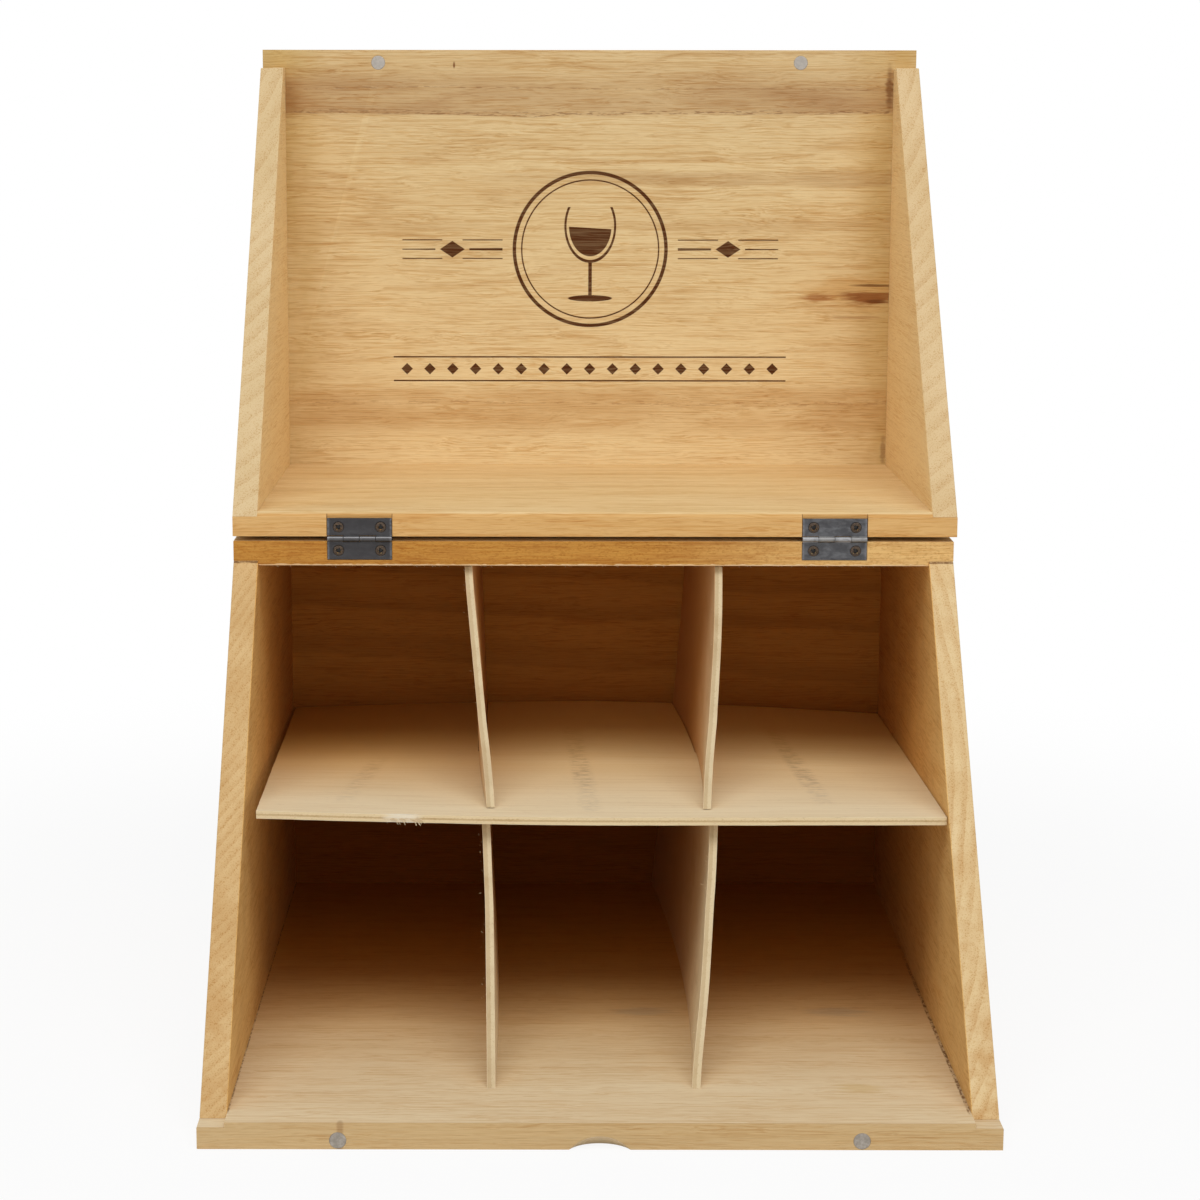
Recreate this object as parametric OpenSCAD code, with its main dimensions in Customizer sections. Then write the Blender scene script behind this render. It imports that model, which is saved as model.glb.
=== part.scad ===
// Wooden wine box for six bottles, with a wedge-shaped lid on two small butt hinges.
// Millimetres. X runs along the front, Y towards the back, Z up.
// The origin is the centre of the box's underside. The lid is drawn open, upside-down on the top.

/* [Box] */
// Outer width across the side boards
box_w = 280; // [220:1:340]
// Outer height with the lid shut
box_h = 189; // [165:1:230]
// Depth of the floor board, from its front edge to the back board
floor_d = 318; // [280:1:360]
// Thickness of the floor, top, back and lid boards
board_t = 9.5; // [9:0.5:12]
// Thickness of the four side boards
side_t = 9.6; // [8:0.2:12]
// Depth of the rebates that the side boards seat in
rebate_d = 1.8; // [1:0.1:3]
// Front edge of the floor to the foot of the slanted side edges
foot_setback = 9.6; // [8:0.2:16]
// Front edge of the floor to the front edge of the top board
top_setback = 161; // [130:1:190]

/* [Lid] */
// Gap all round the shut lid
lid_gap = 0.4; // [0.3:0.1:0.8]
// Sideways offset of the lid on the box
lid_shift = 0.5; // [-1:0.1:1]
// Clearance of the shut lid's tips beside the raised middle of the floor board
tip_clear = 0.2; // [0.1:0.1:0.5]
// Angle that the open lid leans back past upside-down
lid_lean = 0.5; // [0:0.1:0.5]
// Chamfer on the strip's inner rear edge
strip_chamfer = 1.8; // [0.5:0.1:3]
// Width of the chipped corner on the left tip
chip_w = 5; // [1:0.5:8]
// Height of the chipped corner on the left tip
chip_h = 5.4; // [1:0.2:8]

/* [Hinges] */
// Distance between the centres of the two hinges
hinge_spread = 184.6; // [120:0.2:200]
// Sideways offset of the pair of hinges
hinge_offset = 1.4; // [-3:0.1:3]
// Length of a hinge along its pin
leaf_w = 25; // [22:1:35]
// Reach of a leaf from the pin's axis
leaf_reach = 8.1; // [7.5:0.1:8.5]
// Thickness of a leaf
leaf_t = 0.7; // [0.5:0.1:0.8]
// Outer diameter of the knuckles
knuckle_d = 2.2; // [2.1:0.1:2.4]
// Diameter of the hinge pin
pin_d = 1; // [0.8:0.1:1.2]
// Radial clearance of the pin in the lid's knuckles
pin_clear = 0.05; // [0.02:0.01:0.08]
// Height of the pin's axis over the boards
axis_rise = 0.95; // [0.8:0.05:1.1]
// Gap between neighbouring knuckles
knuckle_gap = 0.2; // [0.1:0.05:0.4]
// Clearance of the mortises round the leaves
mortise_clear = 0.2; // [0.1:0.1:0.5]

/* [Hinge screws] */
// Diameter of a screw's head
head_d = 4; // [3.4:0.1:4.4]
// Diameter of a screw's shank
shank_d = 2; // [1.6:0.1:2.4]
// Length of a screw
screw_l = 8; // [6:0.5:12]
// Distance between the two screws of a leaf
screw_spread = 16.4; // [12:0.2:18]
// Distance of the screws from the pin's axis
screw_reach = 4.6; // [4:0.1:5]
// Length of a screw's cross recess
cross_w = 2.2; // [1.6:0.1:2.6]
// Width of the arms of the cross recess
cross_t = 0.55; // [0.4:0.05:0.8]
// Depth of the cross recess
cross_d = 0.7; // [0.4:0.1:1]
// Width of the countersink's rim round a head
rim_w = 0.25; // [0.1:0.05:0.4]

/* [Magnets] */
// Diameter of a magnet
magnet_d = 6; // [4:0.5:6]
// Thickness of a magnet
magnet_t = 3; // [2:0.5:4]
// Distance between the two magnets of a pair
magnet_spread = 182; // [120:1:220]
// Height of the floor's magnets over the underside
floor_magnet_z = 3.2; // [3.2:0.1:5]
// Distance of the lid's magnets from its free edge
lid_magnet_inset = 5.4; // [4:0.1:7]

/* [Finger scoop] */
// Width of the scoop on the underside
scoop_w = 21.4; // [16:0.2:30]
// Height of the scoop on the front edge
scoop_h = 4.9; // [3:0.1:6]
// Depth of the scoop on the underside
scoop_d = 6.5; // [4:0.1:8]

/* [Bottle rack] */
// Thickness of the plywood
ply_t = 3; // [2.4:0.1:4]
// Clearance of a slot round the sheet in it
slot_clear = 0.3; // [0.2:0.1:0.6]
// Height of the shelf's top at the middle of its front edge
shelf_z = 96.3; // [85:0.1:105]
// Front edge of the floor to the shelf's front edge
shelf_front = 90; // [80:1:100]
// Gap between the rack and the back board
back_play = 1.5; // [0.5:0.1:4]
// Gap at the left end of the shelf's front edge
left_play = 4.4; // [1:0.1:8]
// Gap at the right end of the shelf
right_play = 0.3; // [0.3:0.1:2]
// Front edge of the floor to the foot of the dividers
divider_foot = 37; // [30:1:60]
// Front edge of the floor to the head of the dividers
divider_head = 165; // [163:1:190]
// Gap between the dividers and the top board
head_play = 1; // [0.5:0.1:3]
// Front edge of the floor to where the shelf and the dividers lap
lap_y = 208; // [180:1:230]

/* [Hidden] */
$fn = 48;

PAULOWNIA = "burlywood";
PLYWOOD = "wheat";
STEEL = "slategray";
BRONZE = "saddlebrown";
MAGNET = "silver";
LEFT = -1;
RIGHT = 1;
// A cut runs this far past the face that it opens
PAST = 1;

box_d = floor_d + board_t;
inner_w = box_w - 2 * side_t;
// The lid is a little wider than the box, so that its tips clear the floor board's middle
lid_w = box_w + 2 * (abs(lid_shift) + tip_clear);
BAYS = 3;
side_foot_z = board_t - rebate_d;
side_head_z = box_h - side_foot_z;
slant = (top_setback - foot_setback) / (side_head_z - side_foot_z);
// The gap square to the slanted edges, measured along Y
slant_gap = lid_gap * sqrt(1 + slant * slant);

axis_y = top_setback - lid_gap / 2;
axis_z = box_h + axis_rise;
open_angle = 180 + lid_lean;
KNUCKLES = 4;
knuckle_w = (leaf_w - (KNUCKLES - 1) * knuckle_gap) / KNUCKLES;
mortise_w = leaf_w + 2 * mortise_clear;

scoop_r = scoop_w / 2;
scoop_z = (scoop_h * scoop_h - scoop_r * scoop_r) / (2 * scoop_h);
scoop_y = (scoop_d * scoop_d - scoop_r * scoop_r) / (2 * scoop_d);
scoop_ball_r = sqrt(scoop_r * scoop_r + scoop_y * scoop_y + scoop_z * scoop_z);

rack_back = floor_d - back_play;
rack_top = box_h - board_t - head_play;
shelf_right = inner_w / 2 - right_play;
// The shelf sinks from front to back, and its ends rise or drop against its middle
SHELF_FALL = 2.7;
FALL_CURVE = 1.2;
END_CURVE = 1.5;
LEFT_END = [2.6, -3.2];
RIGHT_END = [0.3, -5.6];
// The shelf's left edge runs outwards to the back
LEFT_EDGE_FLARE = 3;
// Sideways warp of each divider against its straight place, as [share of height, offset]
LEFT_FRONT_WARP = [[0, 5.3], [0.36, 3.9], [0.5, 3.5], [0.6, 2.5], [0.76, -0.7], [1, -5.5]];
LEFT_BACK_WARP = [[0, 0.7], [0.5, -1.7], [1, -5]];
LEFT_BOW = [[0, 2], [0.5, -1.5], [1, -0.5]];
RIGHT_FRONT_WARP = [[0, -8.5], [0.18, -4], [0.36, -1], [0.6, 0.2], [0.76, 2.8], [0.86, 4.5], [1, 5.6]];
RIGHT_BACK_WARP = [[0, -12], [0.5, -2.9], [0.76, 0.5], [1, 2.6]];
RIGHT_BOW = [[0, 5], [0.5, 3], [1, 0]];
// The tongues over and under the shelf have sprung apart, each by this much at its front end
LEFT_SPLIT = 1;
RIGHT_SPLIT = -1.4;
SPLIT_REACH = 30;
// Facets along each stretch of a warped sheet
SHEET_N = 5;

function lerp(a, b, share) = a + (b - a) * share;
function slant_y(z) = foot_setback + slant * (z - side_foot_z);
function hinge_x(side) = hinge_offset + side * hinge_spread / 2;

function divider_place(side) = side * inner_w / (2 * BAYS);

function divider_front(z) =
    lerp(divider_foot, divider_head, (z - board_t) / (rack_top - board_t));

function split(z, y, amount) =
    let (near = max(0, 1 - abs(z - shelf_z + ply_t / 2) / SPLIT_REACH))
    let (reach = max(0, (lap_y - y) / (lap_y - divider_front(z))))
    sign(z - shelf_z + ply_t / 2) * amount * near * reach * reach;

function divider_x(side, y, z) =
    let (share = (z - board_t) / (rack_top - board_t))
    let (v = (y - divider_front(z)) / (rack_back - divider_front(z)))
    let (front = lookup(share, side == LEFT ? LEFT_FRONT_WARP : RIGHT_FRONT_WARP))
    let (back = lookup(share, side == LEFT ? LEFT_BACK_WARP : RIGHT_BACK_WARP))
    let (bow = lookup(share, side == LEFT ? LEFT_BOW : RIGHT_BOW))
    divider_place(side) + lerp(front, back, v) + bow * 4 * v * (1 - v)
    + split(z, y, side == LEFT ? LEFT_SPLIT : RIGHT_SPLIT);

function shelf_left(y) =
    -inner_w / 2 + left_play
    - LEFT_EDGE_FLARE * (y - shelf_front) / (rack_back - shelf_front);

function shelf_top(x, y) =
    let (v = max(0, (y - shelf_front) / (rack_back - shelf_front)))
    let (u = 2 * x / inner_w)
    let (end = u < 0 ? LEFT_END : RIGHT_END)
    shelf_z - SHELF_FALL * pow(v, FALL_CURVE) + lerp(end[0], end[1], v) * pow(abs(u), END_CURVE);

// Where a divider passes through the shelf
function crossing_x(side, y) = divider_x(side, y, shelf_top(divider_place(side), y) - ply_t / 2);

function along(stops, place) =
    let (k = min(floor(place), len(stops) - 2))
    lerp(stops[k], stops[k + 1], place - k);

function spread(low, high, n) = [for (i = [0 : n]) lerp(low, high, i / n)];

// The edge between two corners of a sheet, whose far skin starts at corner n
function rim(a, b, n) = [[a, b, n + b], [a, n + b, n + a]];

// A warped sheet: a grid of cells with a skin on each side, where kept(i, j) says which cells it has
function sheet_faces(nu, nv, kept) =
    let (row = nu + 1, n = row * (nv + 1))
    let (has = function (i, j) i >= 0 && i < nu && j >= 0 && j < nv && kept(i, j))
    [for (j = [0 : nv - 1], i = [0 : nu - 1]) if (kept(i, j))
        let (a = j * row + i, b = a + 1, c = b + row, d = a + row)
        each concat(
            [[a, c, b], [a, d, c], [n + a, n + b, n + c], [n + a, n + c, n + d]],
            has(i, j - 1) ? [] : rim(a, b, n),
            has(i + 1, j) ? [] : rim(b, c, n),
            has(i, j + 1) ? [] : rim(c, d, n),
            has(i - 1, j) ? [] : rim(d, a, n)
        )];

module in_box() {
    translate([0, -box_d / 2, 0]) children();
}

// Places pieces drawn in the shut lid's position
module in_lid(shift = lid_shift) {
    in_box()
        translate([0, axis_y, axis_z])
            rotate([-open_angle, 0, 0])
                translate([shift, -axis_y, -axis_z])
                    children();
}

// A board from its lowest corner and its size, centred on X
module board(w, d, t, y = 0, z = 0) {
    translate([-w / 2, y, z]) cube([w, d, t]);
}

// The cuts that a rebate takes out of both ends of a board
module end_rebates(w, d, y, z) {
    for (side = [LEFT, RIGHT])
        translate([side * (w - side_t + PAST) / 2, 0, 0])
            board(side_t + PAST, d + 2 * PAST, rebate_d + PAST, y - PAST, z);
}

// A leaf seen shut: its plate stands behind the pin's axis, and hangs down from it
module leaf(first_knuckle, bore_r) {
    difference() {
        union() {
            translate([-leaf_w / 2, lid_gap / 2, -leaf_reach])
                cube([leaf_w, leaf_t, leaf_reach - knuckle_d / 2 - knuckle_gap]);
            for (i = [first_knuckle, first_knuckle + 2])
                translate([-leaf_w / 2 + i * (knuckle_w + knuckle_gap), 0, 0]) {
                    rotate([0, 90, 0]) cylinder(d = knuckle_d, h = knuckle_w);
                    translate([0, lid_gap / 2, -leaf_reach / 2]) cube([knuckle_w, leaf_t, leaf_reach / 2]);
                }
        }
        translate([-leaf_w / 2 - PAST, 0, 0])
            rotate([0, 90, 0])
                cylinder(r = bore_r, h = leaf_w + 2 * PAST);
        at_screws() countersink();
    }
}

module at_screws() {
    for (side = [LEFT, RIGHT])
        translate([side * screw_spread / 2, lid_gap / 2, -screw_reach])
            rotate([90, 0, 0])
                children();
}

// Head at the origin, facing +Z
module screw_body() {
    rotate_extrude()
        polygon([
            [0, 0], [head_d / 2, 0], [shank_d / 2, (shank_d - head_d) / 2],
            [shank_d / 2, shank_d - screw_l], [0, -screw_l]
        ]);
}

module screw() {
    difference() {
        screw_body();
        for (turn = [0, 90])
            rotate([0, 0, turn])
                translate([-cross_w / 2, -cross_t / 2, -cross_d])
                    cube([cross_w, cross_t, cross_d + PAST]);
    }
}

module countersink() {
    translate([0, 0, -leaf_t - PAST])
        cylinder(d1 = head_d + 2 * (rim_w - leaf_t - PAST), d2 = head_d + 2 * rim_w, h = leaf_t + PAST);
    cylinder(d = head_d + 2 * rim_w, h = PAST);
}

module magnet() {
    rotate([-90, 0, 0]) cylinder(d = magnet_d, h = magnet_t);
}

module floor_magnet(side) {
    in_box() translate([side * magnet_spread / 2, 0, floor_magnet_z]) magnet();
}

module lid_magnet(side) {
    in_lid()
        translate([side * magnet_spread / 2, -lid_gap - magnet_t, lid_gap + lid_magnet_inset])
            magnet();
}

module floor_board() {
    color(PAULOWNIA)
        difference() {
            in_box() board(box_w, floor_d, board_t);
            in_box() end_rebates(box_w, floor_d, 0, side_foot_z);
            in_box() translate([0, scoop_y, scoop_z]) sphere(r = scoop_ball_r);
            floor_magnet(LEFT);
            floor_magnet(RIGHT);
        }
}

module back_board() {
    color(PAULOWNIA) in_box() board(box_w, board_t, box_h, floor_d);
}

module side_board(side) {
    color(PAULOWNIA)
        in_box()
            translate([side * (box_w - side_t) / 2 - side_t / 2, 0, 0])
                rotate([90, 0, 90])
                    linear_extrude(side_t)
                        polygon([
                            [foot_setback, side_foot_z], [floor_d, side_foot_z],
                            [floor_d, side_head_z], [top_setback, side_head_z]
                        ]);
}

module top_board() {
    mortise_h = leaf_reach + mortise_clear - axis_rise;
    color(PAULOWNIA)
        in_box()
            difference() {
                board(box_w, floor_d - top_setback, board_t, top_setback, box_h - board_t);
                end_rebates(box_w, floor_d - top_setback, top_setback, box_h - board_t - PAST);
                for (side = [LEFT, RIGHT])
                    translate([hinge_x(side), 0, 0]) {
                        translate([0, top_setback - PAST, box_h - mortise_h])
                            board(mortise_w, leaf_t + PAST, mortise_h + PAST);
                        translate([0, axis_y, axis_z]) at_screws() screw_body();
                    }
            }
}

// Columns 1 to 2 and 3 to 4 are the slots for the dividers, open from the lap to the back
module shelf() {
    columns = [each spread(0, 1, SHEET_N), each spread(2, 3, SHEET_N), each spread(4, 5, SHEET_N)];
    rows = spread(0, 2, 2 * SHEET_N);
    half_slot = ply_t / 2 + slot_clear;
    skin = function (drop) [
        for (r = rows, c = columns)
            let (y = along([shelf_front, lap_y, rack_back], r))
            let (left = crossing_x(LEFT, y))
            let (right = crossing_x(RIGHT, y))
            let (x = along([
                shelf_left(y), left - half_slot, left + half_slot,
                right - half_slot, right + half_slot, shelf_right
            ], c))
            [x, y, shelf_top(x, y) - drop]
    ];
    is_slot = function (i, j) columns[i + 1] - columns[i] == 1 && rows[j] >= 1;
    color(PLYWOOD)
        in_box()
            polyhedron(
                concat(skin(0), skin(ply_t)),
                sheet_faces(len(columns) - 1, len(rows) - 1, function (i, j) !is_slot(i, j))
            );
}

// Rows 1 to 2 are the slot for the shelf, open from the front to the lap
module divider(side) {
    columns = spread(0, 2, 2 * SHEET_N);
    rows = [each spread(0, 1, SHEET_N), each spread(2, 3, SHEET_N)];
    skin = function (x_shift) [
        for (r = rows, c = columns)
            let (z_near = along([board_t, shelf_z - ply_t, shelf_z, rack_top], r))
            let (y = along([divider_front(z_near), lap_y, rack_back], c))
            let (top = shelf_top(divider_place(side), y))
            let (z = along([board_t, top - ply_t - slot_clear, top + slot_clear, rack_top], r))
            [divider_x(side, y, z) + x_shift, y, z]
    ];
    is_slot = function (i, j) rows[j + 1] - rows[j] == 1 && columns[i] < 1;
    color(PLYWOOD)
        in_box()
            polyhedron(
                concat(skin(ply_t / 2), skin(-ply_t / 2)),
                sheet_faces(len(columns) - 1, len(rows) - 1, function (i, j) !is_slot(i, j))
            );
}

module box_leaf(side) {
    color(STEEL) in_box() translate([hinge_x(side), axis_y, axis_z]) leaf(0, pin_d / 2);
}

module box_screws(side) {
    color(BRONZE) in_box() translate([hinge_x(side), axis_y, axis_z]) at_screws() screw();
}

module hinge_pin(side) {
    color(STEEL)
        in_box()
            translate([hinge_x(side) - leaf_w / 2, axis_y, axis_z])
                rotate([0, 90, 0])
                    cylinder(d = pin_d, h = leaf_w);
}

module lid_panel() {
    color(PAULOWNIA)
        difference() {
            in_lid() board(lid_w, board_t, box_h - lid_gap, -lid_gap - board_t, lid_gap);
            lid_magnet(LEFT);
            lid_magnet(RIGHT);
        }
}

module lid_strip() {
    strip_z = box_h - board_t;
    chamfer_side = strip_chamfer * sqrt(2);
    color(PAULOWNIA)
        difference() {
            in_lid() board(lid_w, top_setback, board_t, -lid_gap, strip_z);
            in_lid() end_rebates(lid_w, top_setback, -lid_gap, strip_z - PAST);
            in_lid()
                translate([0, top_setback - lid_gap, strip_z])
                    rotate([45, 0, 0])
                        cube([lid_w + 2 * PAST, chamfer_side, chamfer_side], center = true);
            for (side = [LEFT, RIGHT])
                in_lid(hinge_x(side)) {
                    translate([0, top_setback - lid_gap - leaf_t, strip_z - PAST])
                        board(mortise_w, leaf_t + PAST, board_t + 2 * PAST);
                    translate([0, axis_y, axis_z]) mirror([0, 1, 0]) at_screws() screw_body();
                }
        }
}

module lid_side(side) {
    tip_z = side_foot_z + lid_gap;
    color(PAULOWNIA)
        in_lid()
            difference() {
                translate([side * (lid_w - side_t) / 2 - side_t / 2, 0, 0])
                    rotate([90, 0, 90])
                        linear_extrude(side_t)
                            polygon([
                                [-lid_gap, tip_z], [slant_y(tip_z) - slant_gap, tip_z],
                                [slant_y(side_head_z) - slant_gap, side_head_z], [-lid_gap, side_head_z]
                            ]);
                if (side == LEFT)
                    translate([-lid_w / 2, board_t, tip_z])
                        rotate([90, 0, 0])
                            linear_extrude(board_t)
                                polygon([[-PAST, -PAST], [chip_w, -PAST], [chip_w, 0], [0, chip_h], [-PAST, chip_h]]);
            }
}

module lid_leaf(side) {
    color(STEEL)
        in_lid(hinge_x(side))
            translate([0, axis_y, axis_z])
                mirror([0, 1, 0])
                    leaf(1, pin_d / 2 + pin_clear);
}

module lid_screws(side) {
    color(BRONZE)
        in_lid(hinge_x(side))
            translate([0, axis_y, axis_z])
                mirror([0, 1, 0])
                    at_screws() screw();
}

floor_board();
back_board();
side_board(LEFT);  // left_side_board
side_board(RIGHT);  // right_side_board
top_board();
shelf();
divider(LEFT);  // left_divider
divider(RIGHT);  // right_divider
color(MAGNET) floor_magnet(LEFT);  // left_floor_magnet
color(MAGNET) floor_magnet(RIGHT);  // right_floor_magnet
box_leaf(LEFT);  // left_box_leaf
box_leaf(RIGHT);  // right_box_leaf
box_screws(LEFT);  // left_box_screws
box_screws(RIGHT);  // right_box_screws
hinge_pin(LEFT);  // left_hinge_pin
hinge_pin(RIGHT);  // right_hinge_pin
lid_panel();
lid_strip();
lid_side(LEFT);  // left_lid_side
lid_side(RIGHT);  // right_lid_side
color(MAGNET) lid_magnet(LEFT);  // left_lid_magnet
color(MAGNET) lid_magnet(RIGHT);  // right_lid_magnet
lid_leaf(LEFT);  // left_lid_leaf
lid_leaf(RIGHT);  // right_lid_leaf
lid_screws(LEFT);  // left_lid_screws
lid_screws(RIGHT);  // right_lid_screws
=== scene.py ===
"""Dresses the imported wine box: paulownia boards, a warped plywood rack and small blued hinges."""
import math

import bmesh
import bpy
import numpy as np
from mathutils import Matrix, Vector, noise


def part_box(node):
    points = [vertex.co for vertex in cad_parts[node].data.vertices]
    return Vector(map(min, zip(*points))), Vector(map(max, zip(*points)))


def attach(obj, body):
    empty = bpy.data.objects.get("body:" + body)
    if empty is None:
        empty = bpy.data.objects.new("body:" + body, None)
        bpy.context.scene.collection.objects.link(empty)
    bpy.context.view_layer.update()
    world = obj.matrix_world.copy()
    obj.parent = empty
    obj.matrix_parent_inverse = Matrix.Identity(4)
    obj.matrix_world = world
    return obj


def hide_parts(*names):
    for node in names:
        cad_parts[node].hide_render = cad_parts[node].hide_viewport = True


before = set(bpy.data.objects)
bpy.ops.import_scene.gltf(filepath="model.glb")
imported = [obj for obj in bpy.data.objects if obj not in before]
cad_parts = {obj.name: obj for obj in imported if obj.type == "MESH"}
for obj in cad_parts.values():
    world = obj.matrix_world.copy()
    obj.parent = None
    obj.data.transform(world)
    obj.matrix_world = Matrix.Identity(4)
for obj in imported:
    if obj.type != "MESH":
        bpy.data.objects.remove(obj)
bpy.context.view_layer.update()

MM = 0.001
INSIDE = 130.4  # half the width between the side boards, in millimetres
LID_MIDDLE = 1.4  # how far right of the box's middle the lid and its hinges sit
HINGE_REACH = 92.3  # from there to the middle of each hinge
HINGE_LEVEL = 189.95


# Shader maths
class Field:
    """A socket of a shader tree. Arithmetic on it adds Math nodes."""

    def __init__(self, tree, socket):
        self.tree = tree
        self.socket = socket

    def math(self, operation, *values):
        node = self.tree.nodes.new("ShaderNodeMath")
        node.operation = operation
        for socket, value in zip(node.inputs, values):
            fill(self.tree, socket, value)
        return Field(self.tree, node.outputs[0])

    def __add__(self, other):
        return self.math("ADD", self, other)

    def __sub__(self, other):
        return self.math("SUBTRACT", self, other)

    def __rsub__(self, other):
        return self.math("SUBTRACT", other, self)

    def __mul__(self, other):
        return self.math("MULTIPLY", self, other)

    def __truediv__(self, other):
        return self.math("DIVIDE", self, other)

    def __pow__(self, other):
        return self.math("POWER", self, other)

    def __neg__(self):
        return self.math("MULTIPLY", self, -1.0)

    __radd__ = __add__
    __rmul__ = __mul__

    def __abs__(self):
        return self.math("ABSOLUTE", self)

    def root(self):
        return self.math("SQRT", self)

    def part(self):
        return self.math("FRACT", self)

    def most(self, other):
        return self.math("MAXIMUM", self, other)

    def ease(self, low, high):
        """0 at low, 1 at high, smooth between. low may be the larger of the two."""
        node = self.tree.nodes.new("ShaderNodeMapRange")
        node.interpolation_type = "SMOOTHSTEP"
        for name, value in (("Value", self), ("From Min", low), ("From Max", high)):
            fill(self.tree, node.inputs[name], value)
        return Field(self.tree, node.outputs["Result"])


def fill(tree, socket, value):
    if isinstance(value, Field):
        tree.links.new(value.socket, socket)
    elif isinstance(value, (tuple, list)) and len(value) == 3 and socket.type == "RGBA":
        socket.default_value = (*value, 1.0)
    else:
        socket.default_value = value


class Tree:
    """A node tree being built."""

    def __init__(self, tree):
        self.tree = tree

    def node(self, kind, settings=None, sockets=None, output=0):
        node = self.tree.nodes.new(kind)
        for key, value in (settings or {}).items():
            if key == "stops":
                ramp = node.color_ramp.elements
                while len(ramp) < len(value):
                    ramp.new(0.5)
                for stop, (where, level) in zip(ramp, value):
                    stop.position = where
                    stop.color = (level, level, level, 1.0) if isinstance(level, float) else (*level, 1.0)
            else:
                setattr(node, key, value)
        for key, value in (sockets or {}).items():
            fill(self.tree, node.inputs[key], value)
        return Field(self.tree, node.outputs[output])


class Finish(Tree):
    """A material being built. Lengths in its patterns are millimetres."""

    def __init__(self, name):
        self.material = bpy.data.materials.new(name)
        self.material.use_nodes = True
        super().__init__(self.material.node_tree)
        self.tree.nodes.clear()
        place = self.node("ShaderNodeTexCoord", output="Object")
        self.place = self.node("ShaderNodeVectorMath", {"operation": "SCALE"}, {0: place, "Scale": 1000.0})
        self.x, self.y, self.z = (
            self.node("ShaderNodeSeparateXYZ", {}, {0: self.place}, output=i) for i in range(3)
        )

    def stretched(self, size, place=None):
        """The place, in steps of size millimetres along X, Y and Z."""
        scale = tuple(1.0 / s for s in size)
        return self.node("ShaderNodeVectorMath", {"operation": "MULTIPLY"}, {0: place or self.place, 1: scale})

    def cloud(self, size, detail=2.0, rough=0.5, seed=0.0, warp=0.0, place=None):
        """Noise from 0 to 1 whose lumps are about size millimetres."""
        sockets = {"Vector": self.stretched(size, place), "W": seed, "Scale": 1.0, "Detail": detail,
                   "Roughness": rough, "Distortion": warp}
        return self.node("ShaderNodeTexNoise", {"noise_dimensions": "4D"}, sockets)

    def ramp(self, value, stops):
        return self.node("ShaderNodeValToRGB", {"stops": stops}, {"Fac": value})

    def mix(self, amount, one, other, blend="MIX"):
        return self.node("ShaderNodeMix", {"data_type": "RGBA", "blend_type": blend},
                         {0: amount, 6: one, 7: other}, output=2)

    def shade(self, color, rough, bump=None, depth=0.1, metal=0.0, slot_values=None):
        """Ends the material. bump is a height in steps of depth millimetres."""
        sockets = {"Base Color": color, "Roughness": rough, "Metallic": metal, **(slot_values or {})}
        if bump is not None:
            sockets["Normal"] = self.node("ShaderNodeBump", {}, {
                "Strength": 1.0, "Distance": depth * MM, "Height": bump})
        shader = self.node("ShaderNodeBsdfPrincipled", {}, sockets)
        self.node_out(shader)
        return self.material

    def node_out(self, shader):
        out = self.tree.nodes.new("ShaderNodeOutputMaterial")
        self.tree.links.new(shader.socket, out.inputs["Surface"])


# Timber
PALE = (0.770, 0.560, 0.290)
TAN = (0.640, 0.410, 0.180)
AMBER = (0.510, 0.285, 0.105)
DARK = (0.300, 0.150, 0.055)


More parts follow.
